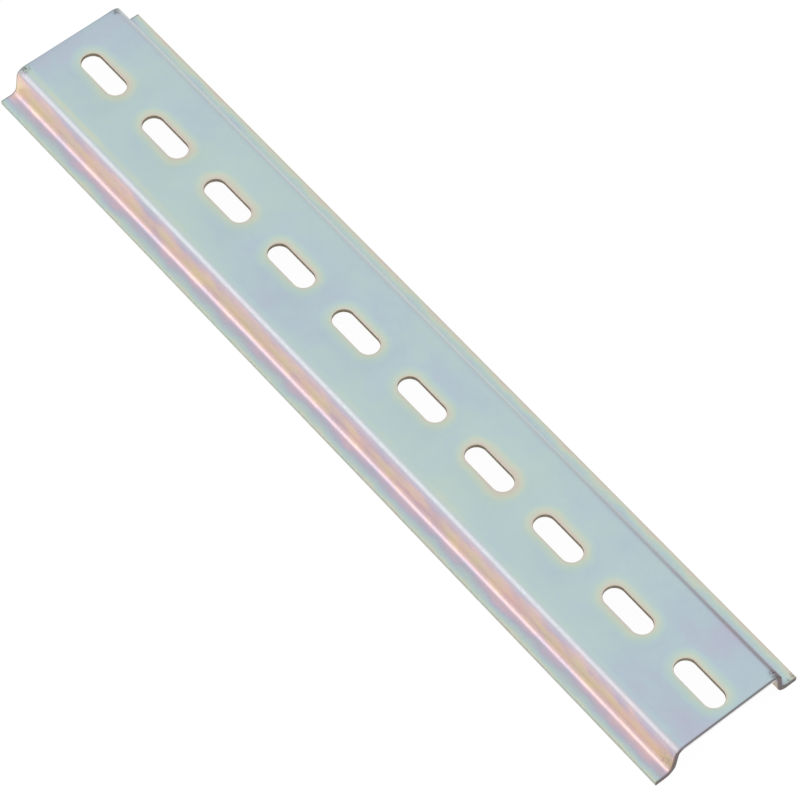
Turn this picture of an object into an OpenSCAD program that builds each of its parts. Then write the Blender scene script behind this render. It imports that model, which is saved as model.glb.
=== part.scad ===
// DIN rail: top hat section, 35 mm wide and 7.5 mm high, with a row of slots along its crown.
// The rail lies on its two flanges with its crown up. X runs along the rail, Y across it,
// and the origin is under the middle of the rail, level with the flanges' underside.

/* [Section] */
// Width over both flanges
rail_w = 35; // [33:0.5:40]
// Width at the top of the walls, over the outside corners that their flats make with the crown's
crown_w = 26; // [24:0.2:27.4]
// Width at the foot of the walls, over the corners that their flats make with the flanges'
foot_w = 27.6; // [26:0.2:28.6]
// Height from the flanges' underside to the crown's top
rail_h = 7.5; // [7:0.5:15]
// Thickness of the sheet that the rail is rolled from
sheet_t = 1; // [0.6:0.1:1.5]
// Inside radius of the bend between the crown and each wall
crown_bend_r = 1; // [0.4:0.1:1.5]
// Inside radius of the bend between each wall and its flange
flange_bend_r = 1.6; // [0.4:0.1:2]

/* [Length] */
// Length of the rail
rail_len = 200; // [60:1:500]

/* [Slots] */
// Distance from slot to slot along the rail
slot_pitch = 20; // [16:0.5:40]
// Length of a slot over its round ends
slot_len = 12.2; // [8:0.1:15]
// Width of a slot
slot_w = 4.7; // [4:0.1:6.5]
// Distance from the rail's -X end to the middle of the first slot
first_slot = 11.8; // [9:0.1:20]
// Least length of crown left between the last slot and the +X end
end_land = 2; // [1:0.5:5]

/* [Hidden] */
$fn = 96;
// How far a cut runs past the faces that it goes through
past = 1;
// Each wall leans in towards the crown, so its two bends turn through less than 90 degrees.
lean = atan((foot_w - crown_w) / 2 / (rail_h - sheet_t));
turn = 90 - lean;
// The way that the +Y wall faces, out and a little up
wall_facing = [cos(lean), sin(lean)];
// Centres of the two bends in the +Y half of the section, as [across, up]
crown_bend = [crown_w / 2 - (crown_bend_r + sheet_t) * tan(turn / 2),
              rail_h - sheet_t - crown_bend_r];
flange_bend = [foot_w / 2 + flange_bend_r * tan(turn / 2), sheet_t + flange_bend_r];
// A wall's flat runs this much off the arcs of its bends, so that it crosses each of them cleanly.
hair = 0.001;
// The row keeps its pitch, and the rail carries as many whole slots as its length has room for.
slot_n = floor((rail_len - first_slot - slot_len / 2 - end_land) / slot_pitch) + 1;

// Everything in the +Y half that lies under a surface of the sheet: its upper surface at a depth
// of 0, or its lower one at a depth of sheet_t. Both turn round the same two bend centres.
module under(depth, floor_z) {
    reach = 2 * rail_h;
    difference() {
        polygon([
            [0, floor_z],
            [0, rail_h - depth],
            [crown_w / 2 - depth * tan(turn / 2) - hair, rail_h - depth],
            flange_bend - (flange_bend_r + depth - hair) * wall_facing,
            flange_bend,
            [flange_bend.x, sheet_t - depth],
            [rail_w / 2, sheet_t - depth],
            [rail_w / 2, floor_z]
        ]);
        translate(crown_bend) difference() {
            polygon([[0, 0], [0, reach], [reach, reach], reach * wall_facing]);
            circle(r = crown_bend_r + sheet_t - depth);
        }
        translate(flange_bend) circle(r = flange_bend_r + depth);
    }
}

// The +Y half of the section: what lies under the sheet's upper surface but not its lower one.
module half_section() {
    difference() {
        under(0, 0);
        under(sheet_t, -past);
    }
}

// The whole hat section, drawn with its width along X and its height along Y.
module section() {
    half_section();
    mirror([1, 0]) half_section();
}

// One slot with round ends, flat, lying along X.
module slot() {
    end_x = (slot_len - slot_w) / 2;
    square([2 * end_x, slot_w], center = true);
    for (side = [-1, 1]) translate([side * end_x, 0]) circle(d = slot_w);
}

// The rail: the section run along X, with its row of slots punched through the crown.
module rail() {
    color([0.76, 0.79, 0.72]) difference() {
        translate([-rail_len / 2, 0, 0]) rotate([90, 0, 90]) linear_extrude(rail_len) section();
        for (i = [0 : slot_n - 1])
            translate([first_slot - rail_len / 2 + i * slot_pitch, 0, rail_h - sheet_t - past])
                linear_extrude(sheet_t + 2 * past) slot();
    }
}

rail();
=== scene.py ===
import math

import bmesh
import bpy
from mathutils import Matrix, Quaternion, Vector


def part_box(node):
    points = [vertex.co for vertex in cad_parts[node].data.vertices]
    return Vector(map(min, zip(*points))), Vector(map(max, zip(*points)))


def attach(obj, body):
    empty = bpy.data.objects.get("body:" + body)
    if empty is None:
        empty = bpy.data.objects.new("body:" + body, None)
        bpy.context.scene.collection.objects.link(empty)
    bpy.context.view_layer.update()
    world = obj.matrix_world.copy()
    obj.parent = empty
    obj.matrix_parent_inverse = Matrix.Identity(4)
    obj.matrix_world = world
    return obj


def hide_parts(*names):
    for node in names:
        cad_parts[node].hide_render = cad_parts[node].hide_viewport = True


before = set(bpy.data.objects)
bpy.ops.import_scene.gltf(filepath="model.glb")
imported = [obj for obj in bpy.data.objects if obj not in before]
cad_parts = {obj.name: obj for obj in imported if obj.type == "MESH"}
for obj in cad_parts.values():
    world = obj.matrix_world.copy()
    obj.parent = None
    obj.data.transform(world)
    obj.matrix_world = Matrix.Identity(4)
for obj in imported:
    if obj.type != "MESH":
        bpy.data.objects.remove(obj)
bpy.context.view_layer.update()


# The rail is one strip of 1 mm steel sheet, punched with a row of slots, rolled into a top
# hat section and cropped to length. The mesh is made in that order: the crown's flat strip
# with its slots, the ends cropped, the bends, walls and flanges drawn out of its sides.
low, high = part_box("rail")
SHEET = 0.001
CROWN_W = 0.026
FOOT_W = 0.0276
CROWN_BEND_R = 0.001
FLANGE_BEND_R = 0.0016
SLOT_PITCH = 0.020
SLOT_LEN = 0.0122
SLOT_W = 0.0047
SLOT_COUNT = 10
FIRST_SLOT = low.x + 0.0118
RIM_STEPS = 64
BEND_STEPS = 10
WALL_STEPS = 4
FLANGE_STEPS = 4
NEAR = 1e-6
outer_r = CROWN_BEND_R + SHEET
# Each wall leans in towards the crown, and a bend takes a little from the flats beside it.
lean = math.atan((FOOT_W - CROWN_W) / 2 / (high.z - SHEET))
turn = math.pi / 2 - lean
crown_setback = outer_r * math.tan(turn / 2)
flange_setback = FLANGE_BEND_R * math.tan(turn / 2)
flat_w = CROWN_W - 2 * crown_setback
wall_w = (high.z - SHEET) / math.cos(lean) - crown_setback - flange_setback
flange_w = high.y - FOOT_W / 2 - flange_setback


def cell_with_slot(mesh, middle):
    """One pitch of the crown: a rectangle bridged to a circle that is pulled out into a slot."""
    corners = bmesh.ops.create_grid(
        mesh, x_segments=1, y_segments=1, size=0.5,
        matrix=Matrix.Diagonal((SLOT_PITCH, flat_w, 1, 1)))["verts"]
    sides = list({e for v in corners for e in v.link_edges})
    plate = list({f for v in corners for f in v.link_faces})
    bmesh.ops.delete(mesh, geom=plate, context="FACES_ONLY")
    split = bmesh.ops.subdivide_edges(mesh, edges=sides, cuts=RIM_STEPS // 4 - 1)["geom_split"]
    border = {g for g in split if isinstance(g, bmesh.types.BMEdge)}
    rim = bmesh.ops.create_circle(
        mesh, segments=RIM_STEPS, radius=SLOT_W / 2,
        matrix=Matrix.Rotation(math.pi / RIM_STEPS, 4, "Z"))["verts"]
    for end in (-1, 1):
        half = [v for v in rim if v.co.x * end > 0]
        bmesh.ops.translate(mesh, verts=half, vec=(end * (SLOT_LEN - SLOT_W) / 2, 0, 0))
    loops = border | {e for v in rim for e in v.link_edges}
    cell = list({v for e in loops for v in e.verts})
    bmesh.ops.bridge_loops(mesh, edges=list(loops))
    bmesh.ops.translate(mesh, verts=cell, vec=(middle, 0, high.z))


def pull(mesh, edges, step, count):
    """Draws a row of edges out along a straight line, in a few steps, and gives the last row."""
    for _ in range(count):
        made = bmesh.ops.extrude_edge_only(mesh, edges=edges)["geom"]
        edges = [g for g in made if isinstance(g, bmesh.types.BMEdge)]
        edges = [e for e in edges if e.is_boundary and all(v in made for v in e.verts)]
        moved = [g for g in made if isinstance(g, bmesh.types.BMVert)]
        bmesh.ops.translate(mesh, verts=moved, vec=Vector(step) / count)
    return [e for e in edges if len({round(v.co.x, 7) for v in e.verts}) == 2]


def roll(mesh, edges, centre, angle):
    """Rolls a row of edges round a bend, and gives the last row."""
    ends = list({v for e in edges for v in e.verts})
    last = bmesh.ops.spin(
        mesh, geom=edges + ends, cent=centre, axis=(1, 0, 0), angle=angle,
        steps=BEND_STEPS, use_merge=False, use_duplicate=False)["geom_last"]
    return [g for g in last if isinstance(g, bmesh.types.BMEdge)]


strip = bmesh.new()
for i in range(SLOT_COUNT):
    cell_with_slot(strip, FIRST_SLOT + i * SLOT_PITCH)
bmesh.ops.remove_doubles(strip, verts=strip.verts[:], dist=NEAR)
tail_x = FIRST_SLOT - SLOT_PITCH / 2
tail = [e for e in strip.edges if all(abs(v.co.x - tail_x) < NEAR for v in e.verts)]
made = bmesh.ops.extrude_edge_only(strip, edges=tail)["geom"]
tail_verts = [g for g in made if isinstance(g, bmesh.types.BMVert)]
bmesh.ops.translate(strip, verts=tail_verts, vec=(-SLOT_PITCH / 2, 0, 0))
for end_x, outwards in ((low.x, -1), (high.x, 1)):
    everything = strip.verts[:] + strip.edges[:] + strip.faces[:]
    bmesh.ops.bisect_plane(strip, geom=everything, plane_co=(end_x, 0, 0),
                           plane_no=(outwards, 0, 0), clear_outer=True)
for side in (-1, 1):
    side_y = side * flat_w / 2
    row = [e for e in strip.edges if all(abs(v.co.y - side_y) < NEAR for v in e.verts)]
    row = roll(strip, row, (0, side_y, high.z - outer_r), -side * turn)
    down = Vector((0, side * math.sin(lean), -math.cos(lean)))
    row = pull(strip, row, down * wall_w, WALL_STEPS)
    foot = (0, side * (high.y - flange_w), SHEET + FLANGE_BEND_R)
    row = roll(strip, row, foot, side * turn)
    pull(strip, row, (0, side * flange_w, 0), FLANGE_STEPS)
bmesh.ops.recalc_face_normals(strip, faces=strip.faces[:])
if max(strip.faces, key=lambda f: f.calc_center_median().z).normal.z < 0:
    bmesh.ops.reverse_faces(strip, faces=strip.faces[:])
bmesh.ops.solidify(strip, geom=strip.faces[:], thickness=SHEET)

# Punching draws the slots' upper edges down, and slitting and cropping leave the sheet's
# other edges a little blunt.
SLOT_ROLLOVER = 0.00012
SLIT_EDGE = 0.00012
CROPPED_EDGE = 0.00005
SHARP_ANGLE = 1.0
SMOOTH_ANGLE = math.radians(35)
PLATED, CROPPED, PUNCHED = range(3)


def edges_where(mesh, test):
    """The mesh's sharp edges whose two ends both pass a test."""
    sharp = (e for e in mesh.edges if len(e.link_faces) == 2 and e.calc_face_angle() > SHARP_ANGLE)
    return [e for e in sharp if all(test(v.co) for v in e.verts)]


def blunt(mesh, edges, width):
    bmesh.ops.bevel(mesh, geom=edges, offset=width, offset_type="OFFSET", segments=3,
                    profile=0.5, affect="EDGES", material=-1, clamp_overlap=True)


def inside_ends(p):
    return low.x + NEAR < p.x < high.x - NEAR


blunt(strip, edges_where(strip, lambda p: abs(p.z - high.z) < NEAR and inside_ends(p)), SLOT_ROLLOVER)
blunt(strip, edges_where(strip, lambda p: abs(p.y) > high.y - NEAR), SLIT_EDGE)
blunt(strip, edges_where(strip, lambda p: not inside_ends(p)), CROPPED_EDGE)

rail_mesh = bpy.data.meshes.new("plated_rail")
for face in strip.faces:
    face.smooth = True
    middle = face.calc_center_median()
    at_end = abs(face.normal.x) > 0.9 and not inside_ends(middle)
    in_slot = (abs(middle.y) < SLOT_W / 2 + NEAR and inside_ends(middle)
               and abs(face.normal.z) < 0.1 and middle.z < high.z - SLOT_ROLLOVER)
    face.material_index = CROPPED if at_end else PUNCHED if in_slot else PLATED
strip.to_mesh(rail_mesh)
strip.free()
rail_mesh.set_sharp_from_angle(angle=SMOOTH_ANGLE)
rail = bpy.data.objects.new("plated_rail", rail_mesh)
bpy.context.scene.collection.objects.link(rail)
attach(rail, "root")
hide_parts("rail")


# The finish is zinc plate under a thin chromate film, which shows colour by its thickness.
# It is thickest where the plating current was, round the slots and along the strip's slit
# edges, and thinnest on the walls, where its colours run from gold to pink.
def paint(red, green, blue):
    """A colour given as 0 to 255 values, as the linear RGBA that sockets hold."""
    def linear(c):
        c /= 255
        return c / 12.92 if c <= 0.04045 else ((c + 0.055) / 1.055) ** 2.4
    return (linear(red), linear(green), linear(blue), 1)


FILM = (
    (0.00, paint(239, 219, 176)),
    (0.10, paint(241, 214, 191)),
    (0.20, paint(231, 201, 199)),
    (0.28, paint(213, 193, 203)),
    (0.36, paint(201, 191, 209)),
    (0.44, paint(187, 191, 207)),
    (0.52, paint(184, 199, 210)),
    (0.60, paint(186, 206, 209)),
    (0.70, paint(190, 209, 204)),
    (0.80, paint(201, 212, 197)),
    (0.90, paint(208, 208, 193)),
    (1.00, paint(210, 200, 188)),
)


class Nodes:
    """Adds nodes to one node tree and gives back the output that the next one reads."""

    def __init__(self, tree):
        self.tree = tree

    def add(self, kind, inputs=None, **settings):
        node = self.tree.nodes.new(kind)
        for name, value in settings.items():
            setattr(node, name, value)
        for key, value in (inputs or {}).items():
            if isinstance(value, bpy.types.NodeSocket):
                self.tree.links.new(value, node.inputs[key])
            else:
                node.inputs[key].default_value = value
        return node

    def calc(self, operation, *values, clamp=False):
        return self.add("ShaderNodeMath", dict(enumerate(values)),
                        operation=operation, use_clamp=clamp).outputs[0]

    def band(self, value, start, end, low_value=0.0, high_value=1.0):
        """Runs smoothly from low_value to high_value as value goes from start to end."""
        return self.add("ShaderNodeMapRange",
                        {"Value": value, "From Min": start, "From Max": end,
                         "To Min": low_value, "To Max": high_value},
                        interpolation_type="SMOOTHSTEP").outputs["Result"]

    def noise(self, vector, scale, detail, roughness=0.5):
        return self.add("ShaderNodeTexNoise",
                        {"Vector": vector, "Scale": scale, "Detail": detail, "Roughness": roughness},
                        noise_dimensions="3D").outputs["Fac"]

    def mix(self, share, first, second):
        """Goes from the first colour to the second as share goes from 0 to 1."""
        return self.add("ShaderNodeMix", {"Factor": share, 6: first, 7: second},
                        data_type="RGBA").outputs[2]

    def ramp(self, value, stops):
        node = self.add("ShaderNodeValToRGB", {"Fac": value})
        elements = node.color_ramp.elements
        while len(elements) < len(stops):
            elements.new(1)
        for element, (place, colour) in zip(elements, stops):
            element.position = place
            element.color = colour
        return node.outputs["Color"]


def bare_material(name):
    """A new material with an empty node tree, and what fills the tree."""
    material = bpy.data.materials.new(name)
    material.use_nodes = True
    material.node_tree.nodes.clear()
    return material, Nodes(material.node_tree)


MM = 1000
plate, n = bare_material("yellow_zinc_plate")
place = n.add("ShaderNodeTexCoord").outputs["Object"]
mm = n.add("ShaderNodeVectorMath", {0: place, 1: (MM, MM, MM)}, operation="MULTIPLY").outputs[0]
axes = n.add("ShaderNodeSeparateXYZ", {0: mm})
x, y, z = axes.outputs
across = n.calc("ABSOLUTE", y)
girth = n.calc("ADD", across, n.calc("SUBTRACT", high.z * MM, z))

# Distance from the nearest slot's edge, in millimetres.
count = n.calc("ROUND", n.calc("DIVIDE", n.calc("SUBTRACT", x, FIRST_SLOT * MM), SLOT_PITCH * MM))
count = n.calc("MINIMUM", n.calc("MAXIMUM", count, 0.0), SLOT_COUNT - 1.0)
from_slot = n.calc("SUBTRACT", n.calc("SUBTRACT", x, FIRST_SLOT * MM),
                   n.calc("MULTIPLY", count, SLOT_PITCH * MM))
past_straight = n.calc("MAXIMUM", n.calc("SUBTRACT", n.calc("ABSOLUTE", from_slot),
                                         (SLOT_LEN - SLOT_W) / 2 * MM), 0.0)
from_axis = n.calc("SQRT", n.calc("ADD", n.calc("POWER", past_straight, 2.0), n.calc("POWER", y, 2.0)))
from_rim = n.calc("SUBTRACT", from_axis, SLOT_W / 2 * MM)

# How thick the film is, from the middle of the crown out to the flanges' edges.
GIRTH_END = 24.0
section_film = n.ramp(n.calc("DIVIDE", girth, GIRTH_END), tuple(
    (mm_out / GIRTH_END, (film, film, film, 1)) for mm_out, film in (
        (0.0, 0.59), (10.4, 0.60), (11.2, 0.67), (11.9, 0.61), (12.6, 0.50), (13.4, 0.40), (14.6, 0.27),
        (15.8, 0.17), (17.5, 0.08), (18.9, 0.11), (20.2, 0.22), (21.2, 0.33), (22.1, 0.44),
        (23.0, 0.60), (24.0, 0.84))))
clouds = n.noise(mm, 0.045, 2.0, 0.45)
mottle = n.noise(mm, 0.22, 3.0, 0.55)
# The right-hand side, +Y, hung nearer the anode, so its film is ahead of the other's on the
# bend and on the flange. The rail's two ends are behind.
right_side = n.band(y, 9.0, 11.0)
ahead = n.calc("ADD", n.calc("MULTIPLY", n.band(girth, 11.8, 12.8), n.band(girth, 15.5, 13.5, 0.0, 0.22)),
               n.band(girth, 17.0, 21.0, 0.0, 0.24))
ahead = n.calc("MULTIPLY", right_side, n.calc("ADD", ahead, n.band(girth, 10.4, 11.2, 0.0, -0.07)))
near_end = n.calc("MULTIPLY", n.band(x, 45.0, 92.0), n.band(across, 2.5, 7.0, -0.05, -0.11))
near_end = n.calc("MULTIPLY", near_end, n.band(girth, 12.5, 15.0, 1.0, 0.2))
spared = n.calc("MULTIPLY", n.band(x, 84.0, 94.0, 0.0, 0.75), n.band(y, 1.0, 5.0))
near_end = n.calc("MULTIPLY", near_end, n.calc("SUBTRACT", 1.0, spared))
# A paler bloom lies just inside the left-hand bend, towards the far end.
bloom = n.calc("MULTIPLY", n.band(girth, 9.8, 11.0), n.band(girth, 12.2, 11.5))
bloom = n.calc("MULTIPLY", bloom, n.band(x, -35.0, -90.0))
bloom = n.calc("MULTIPLY", bloom, n.band(y, -8.0, -10.0, 0.0, 0.14))
far_end = n.band(x, -84.0, -99.0, 0.0, -0.08)
# Streaks that lean with the drip of the bath run over the walls and flanges.
leaning = n.calc("ADD", n.calc("MULTIPLY", x, 0.16), n.calc("MULTIPLY", z, 0.12))
drip = n.add("ShaderNodeCombineXYZ",
             {0: leaning, 1: n.calc("MULTIPLY", girth, 0.30), 2: 0.0}).outputs[0]
streaks = n.noise(drip, 1.0, 3.0, 0.5)
streaked = n.band(girth, 11.5, 14.5)
rim_share = n.band(y, -1.5, 2.5, 0.85, 1.15)
halo = n.calc("MULTIPLY", n.band(from_rim, 2.9, 0.1, 0.0, 0.26), rim_share)
lip = n.band(from_rim, 0.55, 0.05, 0.0, 0.16)
film = section_film
for part in (ahead, bloom, near_end, far_end, halo, lip,
             n.calc("MULTIPLY", n.calc("SUBTRACT", clouds, 0.5), n.band(girth, 11.0, 14.0, 0.38, 0.12)),
             n.calc("MULTIPLY", n.calc("SUBTRACT", streaks, 0.5), n.calc("MULTIPLY", streaked, 0.48)),
             n.calc("MULTIPLY", n.calc("SUBTRACT", mottle, 0.5), 0.18)):
    film = n.calc("ADD", film, part)
film = n.calc("MINIMUM", n.calc("MAXIMUM", film, 0.0), 1.0)
colour = n.ramp(film, FILM)

# The upper bends are painted greyer, the right-hand one paler and turning dark mauve towards the +X end.
# The hollows at the walls' feet are painted darker as painted shade, which dims the lamp's highlight
# there.
upper_bend_band = n.calc("MULTIPLY", n.band(girth, 11.4, 12.3), n.band(girth, 14.6, 13.2))
right_end_share = n.calc("MULTIPLY", right_side, n.band(x, 22.0, 108.0))
bend_grey = n.mix(right_side, paint(196, 195, 194), paint(213, 219, 218))
bend_colour = n.mix(right_end_share, bend_grey, paint(148, 138, 147))
bend_share = n.calc("MULTIPLY", upper_bend_band, n.calc("ADD", n.calc("MULTIPLY", right_end_share, 0.18), 0.58))
colour = n.mix(bend_share, colour, bend_colour)
hollow_shade = n.calc("MULTIPLY", n.band(girth, 19.0, 20.6), n.band(girth, 22.2, 21.0, 0.0, 0.28))
colour = n.mix(hollow_shade, colour, paint(150, 132, 138))

# A dark line is painted along both ends as painted shade of the cut faces, and their corners carry
# stains, partly painted shade of their burrs.
grain = n.noise(mm, 2.2, 3.0, 0.6)
ragged = n.band(grain, 0.35, 0.62)
along = n.calc("ABSOLUTE", x)
# The far end's line is strong only at its corners, and the left-hand slit edge is dark as well.
line_share = n.calc("MAXIMUM", n.band(x, -1.0, 1.0, 0.0, 0.75), n.band(across, 7.5, 12.0, 0.12, 0.62))
stain_and_shade = n.calc("MULTIPLY", n.band(along, 99.55, 99.95), line_share)
slit_edge_dark = n.calc("MULTIPLY", n.band(y, -17.34, -17.46, 0.0, 0.32), n.band(grain, 0.25, 0.6, 0.5, 1.0))
stain_and_shade = n.calc("MAXIMUM", stain_and_shade, slit_edge_dark)
# Each stain's middle and radius in millimetres, and the share of the finish that it hides.
STAINS = (
    (-99.3, 11.6, 7.4, 1.3, 0.7), (-99.2, -11.6, 7.4, 1.7, 0.7), (99.0, 12.2, 7.2, 1.9, 0.9),
    (97.4, -13.4, 1.8, 0.9, 0.5), (98.6, -13.2, 3.0, 0.9, 0.6), (99.5, -13.3, 4.0, 5.0, 0.22),
    (99.0, 13.6, 3.0, 2.2, 0.5), (99.6, 15.8, 1.0, 0.9, 0.6), (99.1, 17.2, 1.0, 0.9, 0.6))
for spot_x, spot_y, spot_z, radius, depth in STAINS:
    reach = n.add("ShaderNodeVectorMath", {0: mm, 1: (spot_x, spot_y, spot_z)},
                  operation="DISTANCE").outputs["Value"]
    spot = n.calc("MULTIPLY", n.band(reach, radius, radius * 0.2, 0.0, depth), ragged)
    stain_and_shade = n.calc("MAXIMUM", stain_and_shade, spot)
# The colour that both the stains and the painted shade darken towards.
stain_and_shade_colour = n.mix(n.band(x, -10.0, 10.0), paint(98, 106, 98), paint(94, 74, 70))
colour = n.mix(stain_and_shade, colour, stain_and_shade_colour)

# Painted shade: surfaces that face into the section are painted darker, for the shade inside it.
facing = n.add("ShaderNodeSeparateXYZ", {0: n.add("ShaderNodeTexCoord").outputs["Normal"]}).outputs
outward = n.calc("ADD", facing[2], n.calc("MULTIPLY", facing[1], n.calc("SIGN", y)))
painted_inner_shade = n.band(outward, 0.1, -0.3, 0.0, 0.55)
colour = n.mix(painted_inner_shade, colour, paint(134, 124, 130))

roughness = n.band(grain, 0.3, 0.7, 0.38, 0.46)
# The hollows that carry the painted shade are also made glossier.
roughness = n.calc("SUBTRACT", roughness, n.calc("MULTIPLY", hollow_shade, 0.35))
bump = n.add("ShaderNodeBump", {"Height": mottle, "Strength": 0.08, "Distance": 0.0002}).outputs["Normal"]
shader = n.add("ShaderNodeBsdfPrincipled",
               {"Base Color": colour, "Metallic": 1.0, "Roughness": roughness, "Normal": bump})
n.add("ShaderNodeOutputMaterial", {"Surface": shader.outputs[0]})

# The cut faces are torn metal, a fine uneven mix of a dark and a light tone.
torn_metal = bpy.data.node_groups.new("torn_metal", "ShaderNodeTree")
for name, kind in (("Position", "NodeSocketVector"), ("Scale", "NodeSocketFloat"),
                   ("Dark", "NodeSocketColor"), ("Light", "NodeSocketColor")):
    torn_metal.interface.new_socket(name, in_out="INPUT", socket_type=kind)
torn_metal.interface.new_socket("Colour", in_out="OUTPUT", socket_type="NodeSocketColor")
n = Nodes(torn_metal)
given = n.add("NodeGroupInput").outputs
tears = n.noise(given["Position"], given["Scale"], 3.0, 0.6)
share = n.add("ShaderNodeMapRange", {"Value": tears, "From Min": 0.3, "From Max": 0.7}).outputs["Result"]
n.add("NodeGroupOutput", {"Colour": n.mix(share, given["Dark"], given["Light"])})


def torn(nodes, place, scale, dark, light):
    return nodes.add("ShaderNodeGroup", {"Position": place, "Scale": scale, "Dark": dark, "Light": light},
                     node_tree=torn_metal).outputs["Colour"]


# The cropped ends show bare sheared steel. The blade burnished the lower part of the crown's
# cut, so that part is bright.
sheared, n = bare_material("sheared_steel")
place = n.add("ShaderNodeTexCoord").outputs["Object"]
# Painted shade: the steel's tones are darker than bare steel, for the cut faces lying in shade.
steel = torn(n, place, 2500.0, paint(78, 68, 68), paint(130, 119, 115))
axes = n.add("ShaderNodeSeparateXYZ", {0: place}).outputs
bright = n.calc("MULTIPLY", n.band(axes[2], 0.00725, 0.00695), n.band(axes[2], 0.0056, 0.0064))
bright = n.calc("MULTIPLY", bright, n.band(n.calc("ABSOLUTE", axes[1]), 0.0122, 0.0108, 0.0, 0.9))
steel = n.mix(bright, steel, paint(226, 228, 232))
shader = n.add("ShaderNodeBsdfPrincipled", {"Base Color": steel, "Metallic": 1.0, "Roughness": 0.5})
n.add("ShaderNodeOutputMaterial", {"Surface": shader.outputs[0]})

# The slots' walls are torn too, and little of the plate's shine is left on them.
punched, n = bare_material("punched_edge")
place = n.add("ShaderNodeTexCoord").outputs["Object"]
steel = torn(n, place, 1800.0, paint(122, 113, 96), paint(160, 150, 130))
shader = n.add("ShaderNodeBsdfPrincipled", {"Base Color": steel, "Metallic": 1.0, "Roughness": 0.6})
n.add("ShaderNodeOutputMaterial", {"Surface": shader.outputs[0]})

rail.data.materials.append(plate)
rail.data.materials.append(sheared)
rail.data.materials.append(punched)


# The studio: a white floor that keeps the rail's shadow, a pale world that is darker towards
# the horizon, and one large soft lamp low at the front left, which lights the rail's bends.
FLOOR_SIZE = 6.0
FLOOR_CLEARANCE = 0.00005
floor_bm = bmesh.new()
bmesh.ops.create_grid(floor_bm, x_segments=1, y_segments=1, size=FLOOR_SIZE / 2,
                      matrix=Matrix.Translation((0, 0, low.z - FLOOR_CLEARANCE)))
floor_mesh = bpy.data.meshes.new("floor")
floor_bm.to_mesh(floor_mesh)
floor_bm.free()
floor = bpy.data.objects.new("floor", floor_mesh)
bpy.context.scene.collection.objects.link(floor)
white, n = bare_material("white_floor")
path = n.add("ShaderNodeLightPath")
seen = n.calc("MAXIMUM", path.outputs["Is Camera Ray"],
              n.calc("MAXIMUM", path.outputs["Is Glossy Ray"], path.outputs["Is Transmission Ray"]))
lit = n.add("ShaderNodeBsdfDiffuse", {"Color": (0.9, 0.9, 0.9, 1)})
glow = n.add("ShaderNodeEmission", {"Color": (1, 1, 1, 1), "Strength": 1.03})
share = n.calc("MULTIPLY", seen, 0.93)
both = n.add("ShaderNodeMixShader", {0: share, 1: lit.outputs[0], 2: glow.outputs[0]})
# From beneath the floor is clear, so that the rail's underside can be seen.
beneath = n.add("ShaderNodeNewGeometry").outputs["Backfacing"]
clear = n.add("ShaderNodeBsdfTransparent")
shown = n.add("ShaderNodeMixShader", {0: beneath, 1: both.outputs[0], 2: clear.outputs[0]})
n.add("ShaderNodeOutputMaterial", {"Surface": shown.outputs[0]})
floor.data.materials.append(white)

world = bpy.data.worlds.new("studio")
bpy.context.scene.world = world
world.use_nodes = True
world.node_tree.nodes.clear()
n = Nodes(world.node_tree)
direction = n.add("ShaderNodeTexCoord").outputs["Generated"]
height = n.add("ShaderNodeSeparateXYZ", {0: direction}).outputs["Z"]
sky = n.ramp(height, ((0.0, (0.62, 0.62, 0.62, 1)), (0.8, (1, 1, 1, 1))))
path = n.add("ShaderNodeLightPath")
backdrop = n.mix(path.outputs["Is Camera Ray"], sky, (1, 1, 1, 1))
light = n.add("ShaderNodeBackground", {"Color": backdrop, "Strength": 1.0})
n.add("ShaderNodeOutputWorld", {"Surface": light.outputs[0]})


def soft_lamp(name, direction, distance, size, level):
    """A square lamp that faces the rail and looks as bright as level."""
    lamp = bpy.data.lights.new(name, "AREA")
    lamp.size = size
    lamp.energy = level * math.pi * size * size
    holder = bpy.data.objects.new(name, lamp)
    towards = Vector(direction).normalized()
    holder.location = towards * distance
    holder.rotation_euler = towards.to_track_quat("Z", "Y").to_euler()
    bpy.context.scene.collection.objects.link(holder)


soft_lamp("front_left", (-0.40, -0.75, 0.50), 1.4, 1.0, 1.05)

# The camera looks down on the rail from its near end, with a long lens.
AIM = Vector((0.0094, -0.0034, 0.0075))
AZIMUTH = math.radians(49.39)
ELEVATION = math.radians(57.53)
ROLL = math.radians(1.17)
DISTANCE = 0.8414
LENS = 197.5
SENSOR_W = 36
SHIFT = 0.000625
camera = bpy.data.objects.new("camera", bpy.data.cameras.new("camera"))
camera.data.sensor_width = SENSOR_W
camera.data.lens = LENS
camera.data.shift_x = -SHIFT
camera.data.shift_y = SHIFT
back = Vector((math.sin(AZIMUTH) * math.cos(ELEVATION),
               -math.cos(AZIMUTH) * math.cos(ELEVATION), math.sin(ELEVATION)))
camera.location = AIM + back * DISTANCE
camera.rotation_mode = "QUATERNION"
camera.rotation_quaternion = back.to_track_quat("Z", "Y") @ Quaternion((0, 0, 1), ROLL)
bpy.context.scene.collection.objects.link(camera)
bpy.context.scene.camera = camera
bpy.context.scene.view_settings.view_transform = "Standard"
